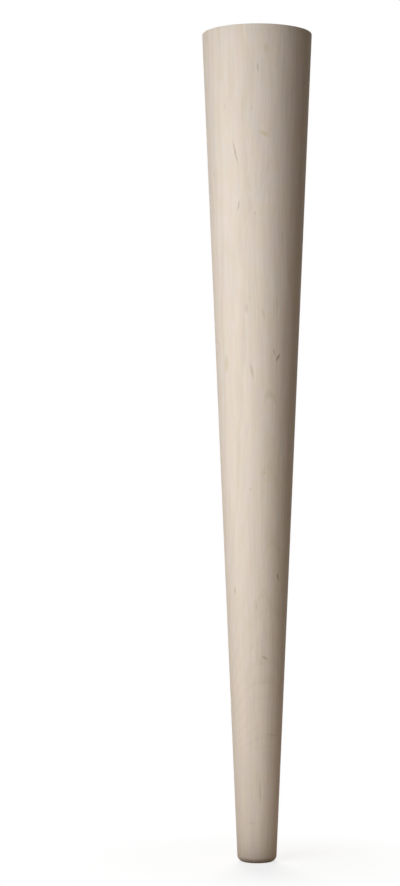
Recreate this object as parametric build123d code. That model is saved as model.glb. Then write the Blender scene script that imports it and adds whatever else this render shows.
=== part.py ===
from build123d import *
import math
import os

# Round tapered furniture leg, turned in one piece from a blank of pale hardwood.
# Millimetres, +Z up. The origin is the centre of the foot, where it meets the floor.

# Driving dimensions of the turned shape
leg_length = 406.4  # foot to top, 16 in
top_diameter = 53.975  # across the flat top, 2 1/8 in
foot_diameter = 19.05  # where the straight taper would meet the floor, 3/4 in
foot_edge_radius = 3.175  # rounding between the taper and the foot, 1/8 in
top_edge_radius = 0.25  # the top corner is only eased by sanding

# Driving dimensions of the pilot hole, which the wood thread of a 5/16 in hanger bolt cuts into
pilot_diameter = 6.35  # 1/4 in
pilot_depth = 44.45  # from the top face to the end of the straight wall, 1 3/4 in
drill_point_angle = 118.0  # included angle of the hole's conical end, in degrees


def turned_blank():
    """One straight taper from foot to top, both ends cut square and their corners eased."""
    with BuildPart() as blank:
        with BuildSketch(Plane.XZ):
            with BuildLine():
                Polyline(
                    (0, 0),
                    (foot_diameter / 2, 0),
                    (top_diameter / 2, leg_length),
                    (0, leg_length),
                    close=True,
                )
            make_face()
        revolve(axis=Axis.Z)
        foot_edge, top_edge = blank.edges().filter_by(GeomType.CIRCLE).sort_by(Axis.Z)
        fillet(foot_edge, radius=foot_edge_radius)
        fillet(top_edge, radius=top_edge_radius)
    return blank.part


def pilot_hole():
    """Blind hole drilled down the axis from the top face: straight wall, conical end."""
    radius = pilot_diameter / 2
    wall_end_z = leg_length - pilot_depth
    point_length = radius / math.tan(math.radians(drill_point_angle / 2))
    with BuildPart() as hole:
        with BuildSketch(Plane.XZ):
            with BuildLine():
                Polyline(
                    (0, leg_length),
                    (radius, leg_length),
                    (radius, wall_end_z),
                    (0, wall_end_z - point_length),
                    close=True,
                )
            make_face()
        revolve(axis=Axis.Z)
    return hole.part


tapered_leg = turned_blank() - pilot_hole()

os.makedirs("parts", exist_ok=True)
export_step(tapered_leg, "parts/tapered_leg.step")
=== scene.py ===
import math
import random
from collections import namedtuple

import bmesh
import bpy
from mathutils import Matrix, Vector


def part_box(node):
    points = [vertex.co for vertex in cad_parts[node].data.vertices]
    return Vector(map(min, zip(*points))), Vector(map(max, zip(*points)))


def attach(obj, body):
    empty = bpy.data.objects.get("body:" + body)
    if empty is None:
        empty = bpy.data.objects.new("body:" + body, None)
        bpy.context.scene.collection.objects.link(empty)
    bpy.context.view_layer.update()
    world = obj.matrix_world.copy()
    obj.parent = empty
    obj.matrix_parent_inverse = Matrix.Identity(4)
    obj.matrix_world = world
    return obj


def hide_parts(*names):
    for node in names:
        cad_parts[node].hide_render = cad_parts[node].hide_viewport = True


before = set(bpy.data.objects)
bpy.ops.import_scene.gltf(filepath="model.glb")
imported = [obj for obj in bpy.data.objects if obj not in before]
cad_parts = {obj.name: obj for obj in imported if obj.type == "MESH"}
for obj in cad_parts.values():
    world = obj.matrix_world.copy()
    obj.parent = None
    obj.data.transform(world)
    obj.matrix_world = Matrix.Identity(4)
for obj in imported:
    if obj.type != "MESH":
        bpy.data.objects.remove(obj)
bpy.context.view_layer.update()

# A round tapered furniture leg in bare pale hardwood, standing on a white floor.
# Places and sizes are in metres, and in millimetres inside the wood's own pattern.
MM = 0.001

# The leg's sizes. The first two come from the frame, and the rest repeat the part's source.
leg_low, leg_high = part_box("tapered_leg")
LEG_LENGTH = leg_high.z - leg_low.z
TOP_RADIUS = min(leg_high.x - leg_low.x, leg_high.y - leg_low.y) / 2
FOOT_RADIUS = 9.525 * MM
FOOT_EDGE_RADIUS = 3.175 * MM
TOP_EDGE_RADIUS = 0.25 * MM
PILOT_RADIUS = 3.175 * MM
PILOT_DEPTH = 44.45 * MM
DRILL_POINT_ANGLE = math.radians(118)
TAPER = math.atan2(TOP_RADIUS - FOOT_RADIUS, LEG_LENGTH)

# How finely the leg's mesh is cut.
SEGMENTS = 192
FOOT_EDGE_STEPS = 12
TOP_EDGE_STEPS = 6
TAPER_STEPS = 112
TOP_FACE_STEPS = 10
FOOT_FACE_STEPS = 4
BORE_STEPS = 16
DRILL_POINT_STEPS = 3
SHARP_CORNER = math.radians(30)

# Where each face of the leg lies on its texture sheet, as (left, bottom, right, top).
SIDE_SHEET = (0.01, 0.26, 0.99, 0.99)
BORE_SHEET = (0.50, 0.01, 0.99, 0.11)
TOP_SHEET_CENTRE = (0.125, 0.125)
FOOT_SHEET_CENTRE = (0.32, 0.125)
FACE_SHEET_SCALE = 4.2

# The photo's frame in pixels, and where the leg stands in it.
PHOTO_WIDTH = 400
PHOTO_HEIGHT = 886
LEG_AXIS_COLUMN = 256.97
LEG_TOP_ROW = 34.83
LEG_FOOT_ROW = 861.1
HORIZON_ROW = 498.6
CAMERA_DISTANCE = 1.106
SENSOR_LONG_SIDE = 36.0


def corner_arc(centre, radius, start, end, steps):
    """Points (radius, height) along a rounded corner, between two angles of its own circle."""
    points = []
    for i in range(steps + 1):
        angle = start + (end - start) * i / steps
        points.append((centre[0] + radius * math.cos(angle), centre[1] + radius * math.sin(angle)))
    return points


def straight(start, end, steps):
    """Points from start to end in even steps, without the first."""
    points = []
    for i in range(1, steps + 1):
        share = i / steps
        points.append((start[0] + (end[0] - start[0]) * share, start[1] + (end[1] - start[1]) * share))
    return points


def side_outline():
    """The leg's side from the flat of the foot to the flat of the top: corner, taper, corner."""
    foot_centre = (
        FOOT_RADIUS - FOOT_EDGE_RADIUS * (1 - math.sin(TAPER)) / math.cos(TAPER),
        FOOT_EDGE_RADIUS,
    )
    top_centre = (
        TOP_RADIUS - TOP_EDGE_RADIUS * (1 + math.sin(TAPER)) / math.cos(TAPER),
        LEG_LENGTH - TOP_EDGE_RADIUS,
    )
    foot_corner = corner_arc(foot_centre, FOOT_EDGE_RADIUS, -math.pi / 2, -TAPER, FOOT_EDGE_STEPS)
    top_corner = corner_arc(top_centre, TOP_EDGE_RADIUS, -TAPER, math.pi / 2, TOP_EDGE_STEPS)
    taper = straight(foot_corner[-1], top_corner[0], TAPER_STEPS)
    return foot_corner + taper + top_corner[1:]


def leg_sections():
    """The whole outline in four runs, each from where the last one ends."""
    side = side_outline()
    foot = [(0.0, 0.0)] + straight((0.0, 0.0), side[0], FOOT_FACE_STEPS)
    mouth = (PILOT_RADIUS, LEG_LENGTH)
    wall_end = (PILOT_RADIUS, LEG_LENGTH - PILOT_DEPTH)
    tip = (0.0, wall_end[1] - PILOT_RADIUS / math.tan(DRILL_POINT_ANGLE / 2))
    top = [side[-1]] + straight(side[-1], mouth, TOP_FACE_STEPS)
    bore = [mouth] + straight(mouth, wall_end, BORE_STEPS) + straight(wall_end, tip, DRILL_POINT_STEPS)
    return {"foot": foot, "side": side, "top": top, "bore": bore}


def ring(mesh, radius, height):
    """One ring of corners, numbered from the back of the leg round by its right side."""
    if radius == 0:
        return [mesh.verts.new((0, 0, height))] * SEGMENTS
    corners = []
    for i in range(SEGMENTS):
        turn = 2 * math.pi * i / SEGMENTS
        corners.append(mesh.verts.new((radius * math.sin(turn), radius * math.cos(turn), height)))
    return corners


def strip_places(outline, sheet):
    """For each ring of an outline, how far along the strip's length it lies on the sheet."""
    lengths = [0.0]
    for near, far in zip(outline, outline[1:]):
        lengths.append(lengths[-1] + math.dist(near, far))
    left, right = sheet[0], sheet[2]
    return [left + (right - left) * length / lengths[-1] for length in lengths]


def lay_on_strip(face, uv_layer, places, step, column, sheet):
    """Put a face of the side or the bore on its strip: length along it, turn across it."""
    bottom, top = sheet[1], sheet[3]
    across = [bottom + (top - bottom) * (column + share) / SEGMENTS for share in (0, 1)]
    spots = [
        (places[step], across[0]),
        (places[step], across[1]),
        (places[step + 1], across[1]),
        (places[step + 1], across[0]),
    ]
    if len(face.loops) == 3:
        tip_spot = (places[step + 1], (across[0] + across[1]) / 2)
        spots = [spots[0], spots[1], tip_spot]
    for loop, spot in zip(face.loops, spots):
        loop[uv_layer].uv = spot


def lay_flat(face, uv_layer, centre):
    """Put a face of the top or the foot on the sheet as it is seen from the end."""
    for loop in face.loops:
        across = loop.vert.co.x * FACE_SHEET_SCALE
        up = loop.vert.co.y * FACE_SHEET_SCALE
        loop[uv_layer].uv = (centre[0] + across, centre[1] + up)


def leg_faces(mesh, uv_layer):
    """Build the leg's four runs of rings and the faces between them."""
    last_ring = None
    for name, outline in leg_sections().items():
        sheet = BORE_SHEET if name == "bore" else SIDE_SHEET
        places = strip_places(outline, sheet)
        near = last_ring or ring(mesh, *outline[0])
        for step, place in enumerate(outline[1:]):
            far = ring(mesh, *place)
            for i in range(SEGMENTS):
                j = (i + 1) % SEGMENTS
                corners = list(dict.fromkeys((near[i], near[j], far[j], far[i])))
                face = mesh.faces.new(corners)
                face.smooth = True
                if name in ("side", "bore"):
                    lay_on_strip(face, uv_layer, places, step, i, sheet)
                else:
                    lay_flat(face, uv_layer, TOP_SHEET_CENTRE if name == "top" else FOOT_SHEET_CENTRE)
            near = far
        last_ring = near


def turned_leg():
    """The leg as one closed mesh, laid out on a texture sheet."""
    mesh = bmesh.new()
    uv_layer = mesh.loops.layers.uv.new("OFBake")
    leg_faces(mesh, uv_layer)
    bmesh.ops.recalc_face_normals(mesh, faces=mesh.faces)
    data = bpy.data.meshes.new("turned_leg")
    mesh.to_mesh(data)
    mesh.free()
    data.set_sharp_from_angle(angle=SHARP_CORNER)
    leg = bpy.data.objects.new("turned_leg", data)
    bpy.context.scene.collection.objects.link(leg)
    return leg


class Graph:
    """Adds nodes to a material and wires them up, so that a pattern reads as a formula."""

    def __init__(self, tree):
        self.tree = tree

    def node(self, kind, inputs, **settings):
        made = self.tree.nodes.new(kind)
        for name, value in settings.items():
            setattr(made, name, value)
        for key, value in inputs.items():
            self.plug(made.inputs[key], value)
        return made

    def plug(self, socket, value):
        if isinstance(value, bpy.types.NodeSocket):
            self.tree.links.new(value, socket)
        else:
            socket.default_value = value

    def shader(self, kind, inputs):
        return self.node("ShaderNode" + kind, inputs).outputs[0]

    def math(self, operation, *values):
        inputs = dict(enumerate(values))
        return self.node("ShaderNodeMath", inputs, operation=operation).outputs[0]

    def vector(self, operation, *values):
        inputs = dict(enumerate(values))
        return self.node("ShaderNodeVectorMath", inputs, operation=operation).outputs["Vector"]

    def length(self, value):
        return self.node("ShaderNodeVectorMath", {0: value}, operation="LENGTH").outputs["Value"]

    def combine(self, x, y, z):
        return self.node("ShaderNodeCombineXYZ", {0: x, 1: y, 2: z}).outputs[0]

    def texture(self, place, noise):
        """A noise texture at a place, stretched as the noise says."""
        inputs = {
            "Vector": self.vector("MULTIPLY", place, noise.stretch),
            "Scale": 1.0,
            "Detail": noise.detail,
            "Roughness": noise.roughness,
        }
        return self.node("ShaderNodeTexNoise", inputs)

    def noise(self, place, noise):
        """A noise's value at a place, from 0 to 1."""
        return self.texture(place, noise).outputs[0]

    def centred(self, value):
        """A noise's value as its distance from the middle of its range."""
        return self.math("SUBTRACT", value, NOISE_MIDDLE)

    def shifted(self, moved, place, noise, reach):
        """A place, moved by a noise of three channels that is read at another place."""
        colour = self.texture(place, noise).outputs["Color"]
        shift = self.vector("SUBTRACT", colour, (NOISE_MIDDLE, NOISE_MIDDLE, NOISE_MIDDLE))
        return self.vector("ADD", moved, self.vector("MULTIPLY", shift, reach))

    def ramp(self, value, low, high, new_low, new_high):
        """new_low below low, new_high above high, and a smooth step between them."""
        inputs = {"Value": value, "From Min": low, "From Max": high, "To Min": new_low, "To Max": new_high}
        return self.node("ShaderNodeMapRange", inputs, interpolation_type="SMOOTHSTEP").outputs[0]

    def blend(self, kind, share, first, second):
        made = self.node("ShaderNodeMix", {}, data_type="RGBA", blend_type=kind)
        self.plug(made.inputs["Factor"], share)
        self.plug(made.inputs[6], first)
        self.plug(made.inputs[7], second)
        return made.outputs[2]


# The wood's colours, as linear red, green and blue.
WOOD_ROSY = (0.784, 0.685, 0.609, 1)
WOOD_GREENISH = (0.770, 0.691, 0.601, 1)

# What the wood's colour is multiplied by in each part of its figure.
RING_TINT = (0.86, 0.81, 0.75, 1)
FLECK_TINT = (0.45, 0.38, 0.28, 1)
SMUDGE_TINT = (0.86, 0.87, 0.70, 1)
YELLOW_TINT = (1.0, 0.99, 0.945, 1)
# The foot's tint below is painted shade near the floor, not a colour of the wood.
FOOT_SHADE_TINT = (0.34, 0.295, 0.25, 1)
END_GRAIN_TINT = (0.84, 0.80, 0.75, 1)

# A noise: how many of its features fit in a millimetre along x, y and z, and its finer detail.
Noise = namedtuple("Noise", "stretch detail roughness")
NOISE_MIDDLE = 0.5
WANDER = Noise((0.030, 0.030, 0.011), 2.0, 0.5)
BROAD = Noise((0.16, 0.16, 0.008), 2.0, 0.55)
STREAKS = Noise((0.75, 0.75, 0.022), 3.0, 0.6)
FIBRES = Noise((1.9, 1.9, 0.05), 3.0, 0.65)
MOTTLE = Noise((0.13, 0.13, 0.055), 3.0, 0.6)
CLOUDS = Noise((0.07, 0.07, 0.03), 2.0, 0.5)
YELLOWING = Noise((0.21, 0.21, 0.10), 3.0, 0.55)
RING_DRIFT = Noise((0.05, 0.05, 0.022), 1.0, 0.5)
RING_PATCHES = Noise((0.10, 0.10, 0.035), 2.0, 0.6)
RAGGED_EDGES = Noise((1.6, 1.6, 0.9), 2.0, 0.5)
ARCH_EDGES = Noise((0.9, 0.9, 0.35), 2.0, 0.6)

# The rays' noise runs round the rings in radians, then across them and up in millimetres.
RAYS = Noise((230.0, 0.55, 0.75), 1.0, 0.5)

# How far, in millimetres, the fibres wander, and how ragged the edges of the marks are.
WANDER_REACH = (7.0, 7.0, 0.0)
RAGGED_REACH = (0.45, 0.9, 0.0)
ARCH_RAGGEDNESS = 1.1

# How much each part of the figure lightens or darkens the wood, as a share of its brightness. The
# streaks are strongest on one side of the leg, given in radians round from the front. The fibres
# show as a share of the streaks.
BROAD_DEPTH = 0.10
CLOUD_DEPTH = 0.06
RAY_DEPTH = 0.035
STREAK_DEPTH = 0.155
STREAK_DEPTH_SWING = 0.115
STREAKY_SIDE = 1.10
FIBRE_SHARE = 0.7

# Between which two values of its noise each part of the figure goes from none to full.
MOTTLE_RANGE = (0.35, 0.65)
YELLOW_RANGE = (0.38, 0.62)
RAY_RANGE = (0.62, 0.74)
RING_PATCH_RANGE = (0.3, 0.7)

# The growth rings, in millimetres. Their centre lies behind the leg, on a line that comes nearer
# with height, so the rings leave the front as arches near the foot and as long streaks above.
RING_SPACING = 3.4
RING_FRONT = math.radians(15)
PITH_NEAR = 60.0
PITH_SWING = 120.0
PITH_SWING_HEIGHT = 48.0
RING_DRIFT_REACH = 6.0
SLOPE = math.tan(TAPER)

# Each ring darkens over the first range of its width and pales again over the second. On the side
# it is fainter by chance and in patches, but never fainter than the next two values. The last two
# say how strongly its tint shows on the side and on the ends.
LATE_WOOD_START = (0.35, 0.92)
LATE_WOOD_END = (0.94, 1.0)
FAINTEST_RING = 0.25
FAINTEST_PATCH = 0.25
RING_DEPTH = 0.42
END_RING_DEPTH = 0.55

# Below the first of these heights, in millimetres, the rings hardly show. Above the second they do.
RING_FADE = (50.0, 66.0)
RING_BELOW_FADE = 0.15

# Painted shade at the foot, darker towards the floor: how strongly, how far up it fades, and the darker
# painted contact shade under its rounding.
FOOT_SHADE_DEPTH = 0.667
FOOT_SHADE_HEIGHT = 8.5
RIM_SHADE_DEPTH = 0.21
RIM_SHADE_FADE = (1.6, 3.0)

# How steeply a face has to point up or down to show as end grain.
END_GRAIN_RANGE = (0.5, 0.95)

# The sheen: its roughness, and what the fibres, the flecks and the end grain add to it.
ROUGHNESS = 0.62
FIBRE_ROUGHNESS = 0.22
FLECK_ROUGHNESS = 0.12
END_GRAIN_ROUGHNESS = 0.15
SPECULAR_LEVEL = 0.07

# The relief that sanding leaves: what makes it up, its strength, and its depth in metres.
FIBRE_RELIEF = 0.8
STREAK_RELIEF = 0.4
RING_RELIEF = 0.25
RELIEF_STRENGTH = 0.35
RELIEF_DEPTH = 0.05 * MM

# A mark on the wood: where it is, in degrees round from the front and millimetres up, how long and
# wide it is in millimetres, how far its top leans to the right in degrees, and how strong it is.
Mark = namedtuple("Mark", "turn height length width lean strength")
FRONT_FLECKS = (
    Mark(-0.5, 385.6, 6.6, 1.20, -4, 0.38),
    Mark(-27.0, 345.2, 17.0, 1.30, -14, 0.44),
    Mark(-40.0, 368.0, 2.8, 0.80, -2, 0.28),
    Mark(-6.6, 366.0, 4.2, 1.20, -24, 0.12),
    Mark(-23.8, 319.6, 7.2, 1.30, 8, 0.42),
    Mark(-3.8, 316.0, 3.0, 1.10, 3, 0.24),
    Mark(31.4, 304.6, 9.0, 1.30, 4, 0.18),
    Mark(7.0, 267.8, 7.0, 1.40, -16, 0.22),
    Mark(26.0, 272.0, 8.0, 1.30, -1, 0.14),
    Mark(-15.6, 270.2, 7.0, 2.60, 1, 0.19),
    Mark(29.0, 246.6, 5.8, 1.90, 28, 0.68),
    Mark(23.0, 249.0, 5.2, 1.30, -10, 0.38),
    Mark(-8.8, 240.3, 11.5, 1.80, -12, 0.32),
    Mark(-11.6, 182.8, 1.9, 1.90, 0, 0.20),
    Mark(39.0, 140.3, 5.4, 1.60, -14, 0.66),
    Mark(-46.4, 133.7, 5.0, 1.50, -9, 0.38),
    Mark(-2.0, 125.9, 6.0, 1.30, 0, 0.24),
    Mark(14.4, 100.9, 5.0, 1.90, -58, 0.38),
    Mark(40.0, 63.0, 13.0, 1.50, -78, 0.16),
    Mark(6.4, 35.3, 14.0, 1.50, -3, 0.20),
    Mark(-14.0, 20.0, 5.0, 1.50, -83, 0.15),
)
FRONT_SMUDGES = (
    Mark(6.3, 354.0, 8.0, 3.6, -56, 1.00),
    Mark(8.2, 394.4, 9.0, 3.8, 0, 0.70),
    Mark(-49.0, 243.8, 12.0, 4.6, 3, 0.80),
    Mark(10.4, 190.6, 4.0, 6.0, 0, 0.60),
)

# A small arch in the figure, open below: where its peak is, in degrees round from the front and
# millimetres up, its width and height and the thickness of its line in millimetres, and its strength.
Arch = namedtuple("Arch", "turn peak width height line strength")
FRONT_ARCHES = (
    Arch(17.7, 229.4, 8.4, 8.8, 3.4, 0.66),
    Arch(16.0, 194.0, 6.6, 8.0, 3.0, 0.40),
    Arch(20.0, 190.0, 12.0, 18.0, 4.0, 0.34),
    Arch(27.0, 157.0, 10.0, 8.0, 3.2, 0.38),
    Arch(9.0, 132.0, 10.0, 9.0, 3.0, 0.42),
    Arch(34.0, 123.0, 7.0, 6.0, 2.6, 0.36),
)

# The share of a mark's half width, from its middle, over which it stays at full strength.
FLECK_CORE = 0.2
SMUDGE_CORE = 0.0

# How far from its peak an arch starts to fade and is gone, where 1 is half its width to the side
# and its own height up or down.
ARCH_FADE = (0.6, 1.4)

# The flecks of the sides and the back, each value drawn between two limits, as for a mark.
HIDDEN_FLECK_SEED = 8
HIDDEN_FLECKS = 30
HIDDEN_TURNS = (62, 298)
HIDDEN_HEIGHTS = (12, 395)
HIDDEN_LENGTHS = (2.2, 8.0)
HIDDEN_WIDTHS = (0.5, 0.9)
HIDDEN_LEAN = 12
HIDDEN_STRENGTHS = (0.25, 0.8)


def hidden_flecks():
    """Flecks like those of the front, strewn over the rest of the leg."""
    draw = random.Random(HIDDEN_FLECK_SEED)
    first_turn, last_turn = HIDDEN_TURNS
    flecks = []
    for i in range(HIDDEN_FLECKS):
        turn = first_turn + (last_turn - first_turn) * (i + draw.random()) / HIDDEN_FLECKS
        height = draw.uniform(*HIDDEN_HEIGHTS)
        length = draw.uniform(*HIDDEN_LENGTHS)
        width = draw.uniform(*HIDDEN_WIDTHS)
        lean = draw.gauss(0, HIDDEN_LEAN)
        strength = draw.uniform(*HIDDEN_STRENGTHS)
        flecks.append(Mark((turn + 180) % 360 - 180, height, length, width, lean, strength))
    return flecks


def unrolled(turn, height):
    """Where a place on the leg's side lies on its unrolled surface."""
    radius = FOOT_RADIUS / MM + SLOPE * height
    return math.radians(turn) * radius, height, 0


def marks_pattern(graph, surface, marks, core):
    """How strongly the marks show at a place on the unrolled surface, from 0 to 1."""
    strongest = 0.0
    for mark in marks:
        inputs = {
            "Vector": surface,
            "Location": unrolled(mark.turn, mark.height),
            "Rotation": (0, 0, -math.radians(mark.lean)),
            "Scale": (mark.width / 2, mark.length / 2, 1),
        }
        local = graph.node("ShaderNodeMapping", inputs, vector_type="TEXTURE").outputs[0]
        shown = graph.ramp(graph.length(local), core, 1.0, mark.strength, 0.0)
        strongest = graph.math("MAXIMUM", strongest, shown)
    return strongest


def arches_pattern(graph, surface, arches, uneven):
    """How strongly the small arches show at a place on the unrolled surface, from 0 to 1."""
    strongest = 0.0
    for arch in arches:
        inputs = {
            "Vector": surface,
            "Location": unrolled(arch.turn, arch.peak),
            "Scale": (arch.width / 2, arch.height, 1),
        }
        local = graph.node("ShaderNodeMapping", inputs, vector_type="TEXTURE").outputs[0]
        across, up, _ = graph.node("ShaderNodeSeparateXYZ", {0: local}).outputs
        above = graph.math("MULTIPLY_ADD", across, across, up)
        off_line = graph.math("ABSOLUTE", graph.math("ADD", above, uneven))
        line = graph.ramp(off_line, 0.0, arch.line / arch.height, arch.strength, 0.0)
        near = graph.ramp(graph.length(local), *ARCH_FADE, 1.0, 0.0)
        strongest = graph.math("MAXIMUM", strongest, graph.math("MULTIPLY", line, near))
    return strongest


def fleck_pattern(graph, surface):
    """The dark flecks, seen and unseen."""
    return marks_pattern(graph, surface, FRONT_FLECKS + tuple(hidden_flecks()), FLECK_CORE)


def smudge_pattern(graph, surface, point):
    """The yellowish smudges and small arches of the front."""
    smudges = marks_pattern(graph, surface, FRONT_SMUDGES, SMUDGE_CORE)
    edges = graph.centred(graph.noise(point, ARCH_EDGES))
    uneven = graph.math("MULTIPLY", edges, ARCH_RAGGEDNESS)
    return graph.math("MAXIMUM", smudges, arches_pattern(graph, surface, FRONT_ARCHES, uneven))


def pith_distance(graph, place):
    """How far a place is from the rings' centre, and in which direction it lies from there."""
    x, y, z = place
    fall = graph.math("EXPONENT", graph.math("DIVIDE", z, -PITH_SWING_HEIGHT))
    swing = graph.math("MULTIPLY", fall, PITH_SWING)
    pith = graph.math("ADD", graph.math("MULTIPLY_ADD", z, -SLOPE, PITH_NEAR), swing)
    across = graph.math("MULTIPLY_ADD", pith, math.sin(RING_FRONT), x)
    deep = graph.math("MULTIPLY_ADD", pith, -math.cos(RING_FRONT), y)
    reach = graph.length(graph.combine(across, deep, 0.0))
    return reach, graph.math("ARCTAN2", across, deep)


def late_wood(graph, point, reach):
    """The dark part of each ring, from 0 to 1, and the number of the ring."""
    drift = graph.math("MULTIPLY", graph.centred(graph.noise(point, RING_DRIFT)), RING_DRIFT_REACH)
    count = graph.math("DIVIDE", graph.math("ADD", reach, drift), RING_SPACING)
    share = graph.math("FRACT", count)
    darkening = graph.ramp(share, *LATE_WOOD_START, 0, 1)
    paling = graph.ramp(share, *LATE_WOOD_END, 1, 0)
    return graph.math("MULTIPLY", darkening, paling), graph.math("FLOOR", count)


def ring_lines(graph, point, late, which_ring, z):
    """The rings as the side shows them: some fainter, in patches, and hardly any at the foot."""
    chance_inputs = {"W": which_ring}
    chance = graph.node("ShaderNodeTexWhiteNoise", chance_inputs, noise_dimensions="1D").outputs[0]
    strength = graph.math("MULTIPLY_ADD", chance, 1 - FAINTEST_RING, FAINTEST_RING)
    patches = graph.ramp(graph.noise(point, RING_PATCHES), *RING_PATCH_RANGE, FAINTEST_PATCH, 1)
    lines = graph.math("MULTIPLY", graph.math("MULTIPLY", late, strength), patches)
    return graph.math("MULTIPLY", lines, graph.ramp(z, *RING_FADE, RING_BELOW_FADE, 1))


def ray_pattern(graph, turn, reach, z):
    """Rays: sheets that stand along the grain, thin round the rings and wide across them."""
    return graph.ramp(graph.noise(graph.combine(turn, reach, z), RAYS), *RAY_RANGE, 0, 1)


def wood_tone(graph, point, fibre, azimuth, streak, fine, ray):
    """How bright the wood is, around 1."""
    tone = graph.math("MULTIPLY_ADD", graph.centred(graph.noise(fibre, BROAD)), BROAD_DEPTH, 1.0)
    facing = graph.math("COSINE", graph.math("SUBTRACT", azimuth, STREAKY_SIDE))
    streak_depth = graph.math("MULTIPLY_ADD", facing, STREAK_DEPTH_SWING, STREAK_DEPTH)
    tone = graph.math("MULTIPLY_ADD", graph.centred(streak), streak_depth, tone)
    fibre_depth = graph.math("MULTIPLY", streak_depth, FIBRE_SHARE)
    tone = graph.math("MULTIPLY_ADD", graph.centred(fine), fibre_depth, tone)
    tone = graph.math("MULTIPLY_ADD", graph.centred(graph.noise(point, CLOUDS)), CLOUD_DEPTH, tone)
    return graph.math("MULTIPLY_ADD", ray, -RAY_DEPTH, tone)


def wood_colour(graph, point, tone):
    """The wood between its rings and marks: rosy here and greenish there, with yellower patches."""
    mottle = graph.ramp(graph.noise(point, MOTTLE), *MOTTLE_RANGE, 0, 1)
    colour = graph.blend("MIX", mottle, WOOD_ROSY, WOOD_GREENISH)
    yellow = graph.ramp(graph.noise(point, YELLOWING), *YELLOW_RANGE, 0, 1)
    colour = graph.blend("MULTIPLY", yellow, colour, YELLOW_TINT)
    inputs = {0: colour, "Scale": tone}
    return graph.node("ShaderNodeVectorMath", inputs, operation="SCALE").outputs["Vector"]


def painted_foot_shade(graph, z):
    """How much painted shade darkens the wood at a height near the floor: most under the foot's rounding.
    """
    fall = graph.math("EXPONENT", graph.math("DIVIDE", z, -FOOT_SHADE_HEIGHT))
    foot_shade = graph.math("MULTIPLY", fall, FOOT_SHADE_DEPTH)
    return graph.math("ADD", foot_shade, graph.ramp(z, *RIM_SHADE_FADE, RIM_SHADE_DEPTH, 0))


def end_grain_pattern(graph):
    """1 on the top and the underside, and 0 on the side."""
    normal = graph.node("ShaderNodeNewGeometry", {}).outputs["Normal"]
    upright = graph.node("ShaderNodeSeparateXYZ", {0: normal}).outputs[2]
    return graph.ramp(graph.math("ABSOLUTE", upright), *END_GRAIN_RANGE, 0, 1)


def wood_relief(graph, fine, streak, ring_line):
    """The surface's normal, with the fibres and rings as a slight relief."""
    height = graph.math("MULTIPLY_ADD", fine, FIBRE_RELIEF, graph.math("MULTIPLY", streak, STREAK_RELIEF))
    height = graph.math("MULTIPLY_ADD", ring_line, -RING_RELIEF, height)
    inputs = {"Height": height, "Strength": RELIEF_STRENGTH, "Distance": RELIEF_DEPTH}
    return graph.node("ShaderNodeBump", inputs).outputs[0]


def bare_wood():
    """Pale close-grained hardwood, sanded and left bare, as one solid pattern in millimetres."""
    material = bpy.data.materials.new("bare_wood")
    material.use_nodes = True
    tree = material.node_tree
    shader = tree.nodes["Principled BSDF"]
    graph = Graph(tree)

    metres = graph.node("ShaderNodeTexCoord", {}).outputs["Object"]
    point = graph.vector("MULTIPLY", metres, (1 / MM, 1 / MM, 1 / MM))
    x, y, z = graph.node("ShaderNodeSeparateXYZ", {0: point}).outputs

    # The unrolled surface: millimetres round from the front, and millimetres up.
    azimuth = graph.math("ARCTAN2", x, graph.math("MULTIPLY", y, -1.0))
    radius = graph.math("MULTIPLY_ADD", z, SLOPE, FOOT_RADIUS / MM)
    flat = graph.combine(graph.math("MULTIPLY", azimuth, radius), z, 0.0)
    surface = graph.shifted(flat, point, RAGGED_EDGES, RAGGED_REACH)

    # The streaks follow a slow wander of the fibres.
    fibre = graph.shifted(point, point, WANDER, WANDER_REACH)
    streak = graph.noise(fibre, STREAKS)
    fine = graph.noise(fibre, FIBRES)

    reach, turn = pith_distance(graph, (x, y, z))
    late, which_ring = late_wood(graph, point, reach)
    ring_line = ring_lines(graph, point, late, which_ring, z)
    ray = ray_pattern(graph, turn, reach, z)
    end_grain = end_grain_pattern(graph)
    flecks = fleck_pattern(graph, surface)
    smudges = smudge_pattern(graph, surface, point)

    tone = wood_tone(graph, point, fibre, azimuth, streak, fine, ray)
    colour = wood_colour(graph, point, tone)
    colour = graph.blend("MULTIPLY", graph.math("MULTIPLY", ring_line, RING_DEPTH), colour, RING_TINT)
    colour = graph.blend("MULTIPLY", smudges, colour, SMUDGE_TINT)
    colour = graph.blend("MULTIPLY", flecks, colour, FLECK_TINT)
    # Painted shade: the wood darkens towards the floor, most under the foot's rounding.
    colour = graph.blend("MULTIPLY", painted_foot_shade(graph, z), colour, FOOT_SHADE_TINT)
    colour = graph.blend("MULTIPLY", end_grain, colour, END_GRAIN_TINT)
    end_rings = graph.math("MULTIPLY", graph.math("MULTIPLY", end_grain, late), END_RING_DEPTH)
    colour = graph.blend("MULTIPLY", end_rings, colour, RING_TINT)
    graph.plug(shader.inputs["Base Color"], colour)

    # The marks stay out of the relief: with them in it the material is too long for Cycles, and
    # the leg renders black.
    roughness = graph.math("MULTIPLY_ADD", graph.centred(fine), FIBRE_ROUGHNESS, ROUGHNESS)
    roughness = graph.math("MULTIPLY_ADD", flecks, FLECK_ROUGHNESS, roughness)
    roughness = graph.math("MULTIPLY_ADD", end_grain, END_GRAIN_ROUGHNESS, roughness)
    graph.plug(shader.inputs["Roughness"], roughness)
    shader.inputs["Specular IOR Level"].default_value = SPECULAR_LEVEL
    graph.plug(shader.inputs["Normal"], wood_relief(graph, fine, streak, ring_line))
    return material


def build_leg():
    leg = turned_leg()
    leg.data.materials.append(bare_wood())
    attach(leg, "root")
    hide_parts("tapered_leg")


# The colour that a white surface shows where it gives off its own light.
WHITE = (1, 1, 1, 1)

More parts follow.
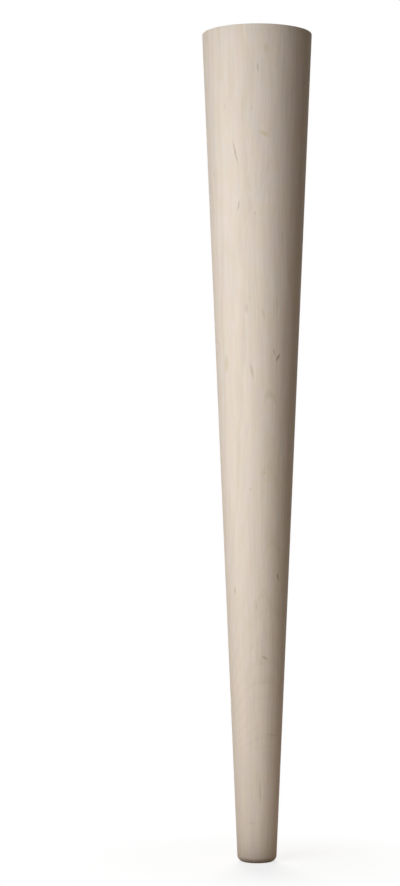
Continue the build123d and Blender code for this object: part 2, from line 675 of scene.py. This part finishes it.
# The floor, in metres. It shows as white, and near the foot part of that white is lamp light,
# so that the leg's shadow stays.
FLOOR_RADIUS = 8.0
FLOOR_SEGMENTS = 96
FLOOR_TONE = (0.474, 0.387, 0.318, 1)
SHADOW_REACH = (0.015, 0.11)
SHADOW_FLOOR_GLOW = 0.75
SHADOW_FLOOR_TONE = (0.26, 0.26, 0.26, 1)
WORLD_COLOUR = (1.05, 0.86, 0.71, 1)
WORLD_STRENGTH = 0.024


def seen_directly(graph):
    """1 for rays from the camera, and for those that reach it through gloss or glass."""
    path = graph.node("ShaderNodeLightPath", {}).outputs
    seen = graph.math("MAXIMUM", path["Is Camera Ray"], path["Is Glossy Ray"])
    return graph.math("MAXIMUM", seen, path["Is Transmission Ray"])


def white_floor():
    """Pale paper that the camera sees as white, apart from the shadow round the foot."""
    material = bpy.data.materials.new("white_floor")
    material.use_nodes = True
    tree = material.node_tree
    tree.nodes.remove(tree.nodes["Principled BSDF"])
    graph = Graph(tree)
    place = graph.node("ShaderNodeTexCoord", {}).outputs["Object"]
    away = graph.ramp(graph.length(place), *SHADOW_REACH, 0, 1)
    lit = graph.shader("BsdfDiffuse", {"Color": FLOOR_TONE})
    shadowed = graph.shader("BsdfDiffuse", {"Color": SHADOW_FLOOR_TONE})
    dim_white = graph.shader("Emission", {"Color": WHITE, "Strength": SHADOW_FLOOR_GLOW})
    near = graph.shader("AddShader", {0: shadowed, 1: dim_white})
    far = graph.shader("Emission", {"Color": WHITE, "Strength": 1.0})
    shown = graph.shader("MixShader", {0: away, 1: near, 2: far})
    mixed = graph.shader("MixShader", {0: seen_directly(graph), 1: lit, 2: shown})
    graph.plug(tree.nodes["Material Output"].inputs["Surface"], mixed)
    return material


def build_floor():
    mesh = bmesh.new()
    bmesh.ops.create_circle(mesh, cap_ends=True, segments=FLOOR_SEGMENTS, radius=FLOOR_RADIUS)
    data = bpy.data.meshes.new("floor")
    mesh.to_mesh(data)
    mesh.free()
    floor = bpy.data.objects.new("floor", data)
    bpy.context.scene.collection.objects.link(floor)
    data.materials.append(white_floor())


def build_world():
    """White to the camera, and a weak warm light for everything else."""
    world = bpy.data.worlds.new("studio")
    bpy.context.scene.world = world
    world.use_nodes = True
    tree = world.node_tree
    graph = Graph(tree)
    weak = tree.nodes["Background"]
    weak.inputs["Color"].default_value = WORLD_COLOUR
    weak.inputs["Strength"].default_value = WORLD_STRENGTH
    white = graph.shader("Background", {"Color": WHITE, "Strength": 1.0})
    mixed = graph.shader("MixShader", {0: seen_directly(graph), 1: weak.outputs[0], 2: white})
    graph.plug(tree.nodes["World Output"].inputs["Surface"], mixed)


# Each lamp's turn is counted from the camera's side towards the right. Its light is how bright its
# face is, where a face of 1 all round would show colours as they are written.
Lamp = namedtuple("Lamp", "name turn distance height width tall light colour")
LAMPS = (
    Lamp("key", -41, 0.33, 0.26, 0.29, 0.48, 2.93, (0.938, 0.97, 1.0)),
    Lamp("fill", 8, 0.57, 0.10, 0.18, 0.16, 2.98, (1.0, 0.922, 0.815)),
    Lamp("back", 183, 1.20, 1.30, 0.80, 0.80, 11.5, (0.98, 0.945, 0.87)),
)
LAMP_AIM = Vector((0, 0, 0.2))


def build_lamp(lamp):
    data = bpy.data.lights.new(lamp.name, "AREA")
    data.shape = "RECTANGLE"
    data.size = lamp.width
    data.size_y = lamp.tall
    data.energy = lamp.light * math.pi * lamp.width * lamp.tall
    data.color = lamp.colour
    made = bpy.data.objects.new(lamp.name, data)
    turn = math.radians(lamp.turn)
    made.location = (lamp.distance * math.sin(turn), -lamp.distance * math.cos(turn), lamp.height)
    made.rotation_euler = (LAMP_AIM - made.location).to_track_quat("-Z", "Y").to_euler()
    made.visible_camera = False
    bpy.context.scene.collection.objects.link(made)


def build_camera():
    """A level camera whose frame is the photo's, with the leg where the photo has it."""
    pixel = LEG_LENGTH / (LEG_FOOT_ROW - LEG_TOP_ROW)
    data = bpy.data.cameras.new("camera")
    data.sensor_width = SENSOR_LONG_SIDE
    data.lens = SENSOR_LONG_SIDE * CAMERA_DISTANCE / (PHOTO_HEIGHT * pixel)
    data.shift_y = (HORIZON_ROW - PHOTO_HEIGHT / 2) / PHOTO_HEIGHT
    camera = bpy.data.objects.new("camera", data)
    camera.location = (
        -(LEG_AXIS_COLUMN - PHOTO_WIDTH / 2) * pixel,
        -CAMERA_DISTANCE,
        (LEG_FOOT_ROW - HORIZON_ROW) * pixel,
    )
    camera.rotation_euler = (math.pi / 2, 0, 0)
    bpy.context.scene.collection.objects.link(camera)
    bpy.context.scene.camera = camera


build_leg()
build_floor()
build_world()
for each_lamp in LAMPS:
    build_lamp(each_lamp)
build_camera()
bpy.context.scene.view_settings.view_transform = "Standard"
